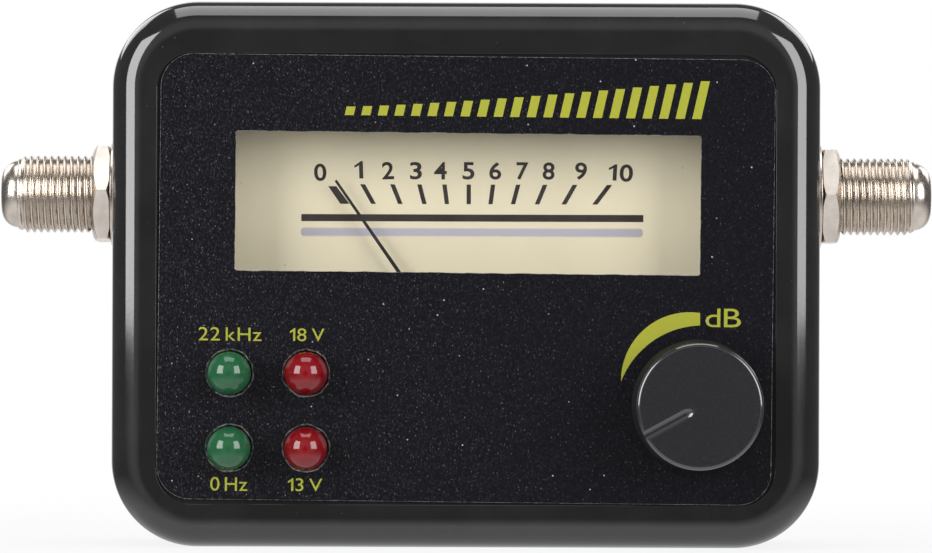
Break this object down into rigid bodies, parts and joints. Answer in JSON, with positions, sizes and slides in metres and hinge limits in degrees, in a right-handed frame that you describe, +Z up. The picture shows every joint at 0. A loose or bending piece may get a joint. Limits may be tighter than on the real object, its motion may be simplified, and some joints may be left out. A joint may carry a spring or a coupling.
{
  "type": "satellite signal meter",
  "caption": "Hand-held signal meter with a needle dial behind a window, domed lamps, a round sensitivity knob and a threaded coaxial connector on each side.",
  "frame": {"origin": "centre of the overall box at its base, where the case stands on its lower edge", "axes": "+X along the line of the two connectors, -Y out of the dial and the knob, +Z up"},
  "size_m": [0.1098, 0.038, 0.0635],
  "materials": {
    "case_plastic": "satin moulded black",
    "label_sheet": "fine-grained printed sheet",
    "knob_plastic": "matt moulded black",
    "dark_plastic": "matt black",
    "white_plastic": "natural",
    "clear_plastic": "clear polished",
    "green_lens": "diffused epoxy",
    "red_lens": "diffused epoxy",
    "dial_sheet": "cream paint",
    "needle_sheet": "dark paint",
    "coil_winding": "enamelled wire on an aluminium former",
    "nickel": "nickel plated, satin",
    "brass": "plain",
    "screw_steel": "zinc plated",
    "tinplate": "tinned",
    "board_laminate": "solder mask",
    "red_insulation": "vinyl",
    "black_insulation": "vinyl"
  },
  "bodies": {
    "case": {"front_shell": "case_plastic", "rear_shell": "case_plastic", "case_screw_1": "screw_steel", "case_screw_2": "screw_steel", "case_screw_3": "screw_steel", "case_screw_4": "screw_steel", "front_label": "label_sheet", "led_green_upper": "green_lens", "led_green_lower": "green_lens", "led_red_upper": "red_lens", "led_red_lower": "red_lens", "pot_housing": "dark_plastic", "pot_faceplate": "tinplate", "pot_track": "dark_plastic", "meter_cover": "clear_plastic", "meter_base": "dark_plastic", "meter_screw_left": "screw_steel", "meter_screw_right": "screw_steel", "dial_plate": "dial_sheet", "dial_screw_left": "screw_steel", "dial_screw_right": "screw_steel", "magnet_core": "screw_steel", "yoke_ring": "screw_steel", "core_strap": "brass", "front_bridge": "brass", "rear_bridge": "brass", "bridge_screw_left": "screw_steel", "bridge_screw_right": "screw_steel", "front_jewel_screw": "brass", "rear_jewel_screw": "brass", "front_hairspring": "brass", "rear_hairspring": "brass", "circuit_board": "board_laminate", "board_screw_left": "screw_steel", "board_screw_right": "screw_steel", "buzzer": "dark_plastic", "filter_capacitor": "dark_plastic", "signal_chip": "dark_plastic", "shield_frame": "tinplate", "shield_lid": "tinplate", "connector_body_left": "nickel", "connector_body_right": "nickel", "connector_washer_left": "nickel", "connector_washer_right": "nickel", "connector_nut_left": "nickel", "connector_nut_right": "nickel", "connector_insulator_left": "white_plastic", "connector_insulator_right": "white_plastic", "connector_contact_left": "brass", "connector_contact_right": "brass", "meter_wire_red": "red_insulation", "meter_wire_black": "black_insulation"},
    "knob": {"knob": "knob_plastic", "pot_shaft": "white_plastic", "pot_wiper": "brass"},
    "needle": {"needle": "needle_sheet", "moving_coil": "coil_winding", "front_pivot": "screw_steel", "rear_pivot": "screw_steel"}
  },
  "joints": [
    {"name": "knob_turn", "type": "hinge", "parent": "case", "child": "knob", "pos_m": [0.0269, 0, 0.01675], "axis": [0, 1, 0], "range_deg": [-30, 270]},
    {"name": "needle_swing", "type": "hinge", "parent": "case", "child": "needle", "pos_m": [0.0003, 0, 0.02035], "axis": [0, 1, 0], "range_deg": [-3, 75], "stiffness_Nm_per_rad": 0.000002, "deforming": ["front_hairspring", "rear_hairspring"]}
  ]
}
